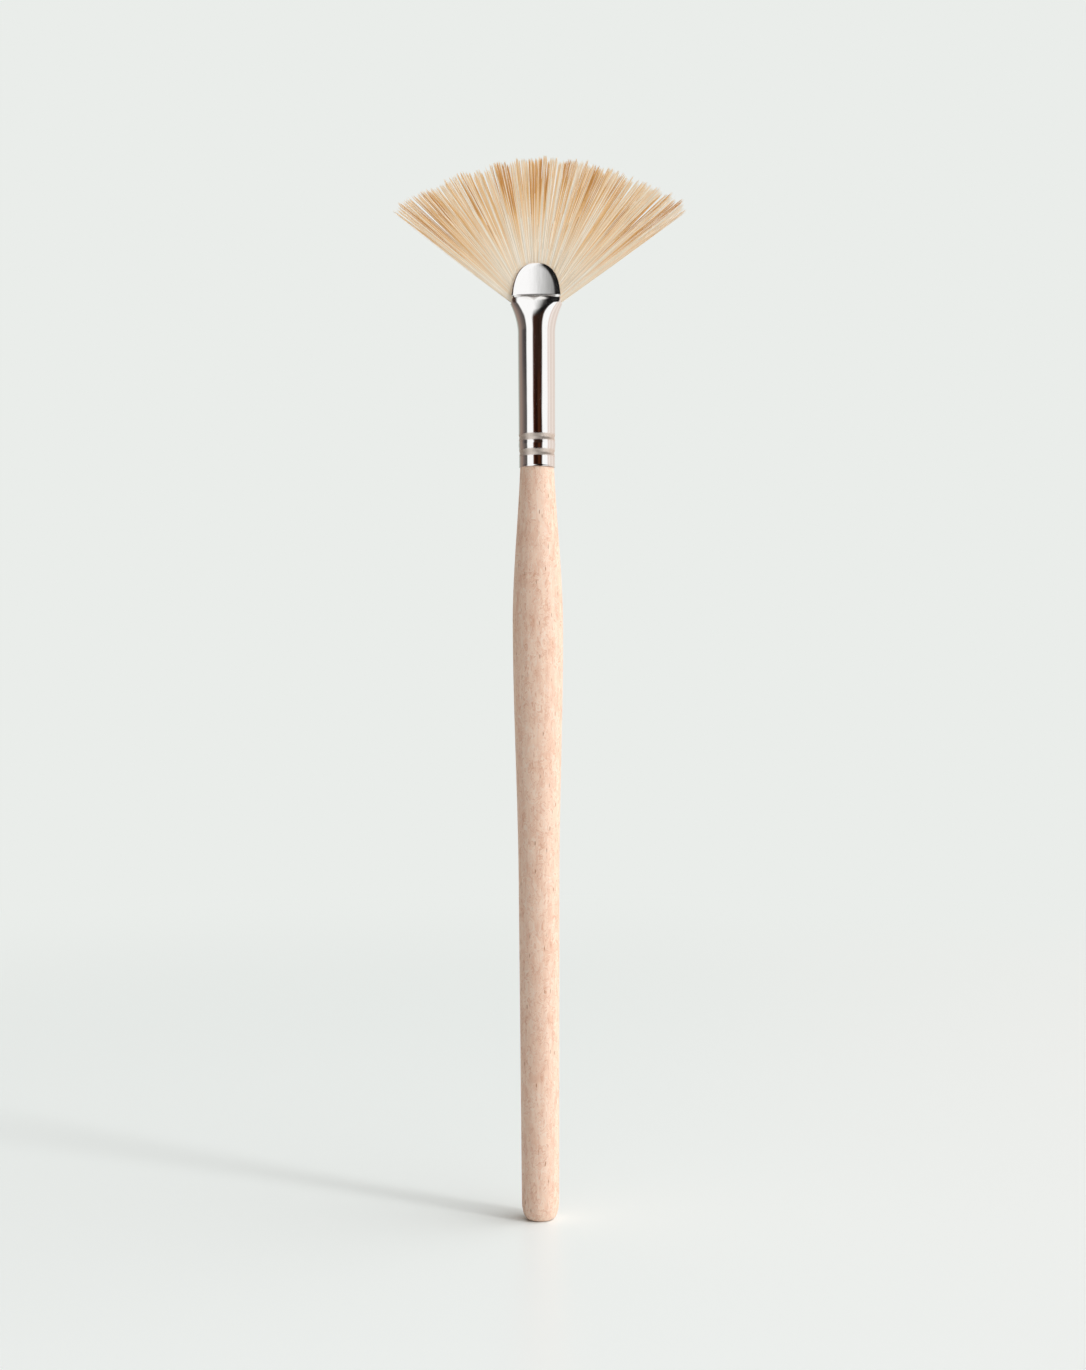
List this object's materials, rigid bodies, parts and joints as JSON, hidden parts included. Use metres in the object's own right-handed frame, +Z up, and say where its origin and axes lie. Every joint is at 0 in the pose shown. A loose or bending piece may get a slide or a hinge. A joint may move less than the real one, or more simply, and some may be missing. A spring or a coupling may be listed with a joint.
{
  "type": "fan mask brush",
  "caption": "Slim fan-shaped facial mask brush: turned wooden handle, polished aluminium ferrule with a domed flat mouth, and a flat fan of natural hair.",
  "frame": {"origin": "centre of the small flat at the butt of the handle, which the brush stands on", "axes": "+Z runs up the handle to the hair, the fan spreads along X, and its front faces -Y"},
  "size_m": [0.0491, 0.0086, 0.1808],
  "materials": {
    "beech": "satin",
    "polished_aluminium": "polished",
    "cured_glue": "gloss",
    "root_resin": "gloss",
    "cotton_thread": "matte",
    "natural_hair": "satin"
  },
  "bodies": {
    "root": {"handle": "beech", "ferrule": "polished_aluminium", "tenon_adhesive": "cured_glue", "root_plug": "root_resin", "binding_thread": "cotton_thread", "hair_lock_01": "natural_hair", "hair_lock_02": "natural_hair", "hair_lock_03": "natural_hair", "hair_lock_04": "natural_hair", "hair_lock_05": "natural_hair", "hair_lock_06": "natural_hair", "hair_lock_07": "natural_hair", "hair_lock_08": "natural_hair", "hair_lock_09": "natural_hair", "hair_lock_10": "natural_hair", "hair_lock_11": "natural_hair", "hair_lock_12": "natural_hair", "hair_lock_13": "natural_hair", "hair_lock_14": "natural_hair", "hair_lock_15": "natural_hair"}
  },
  "joints": []
}
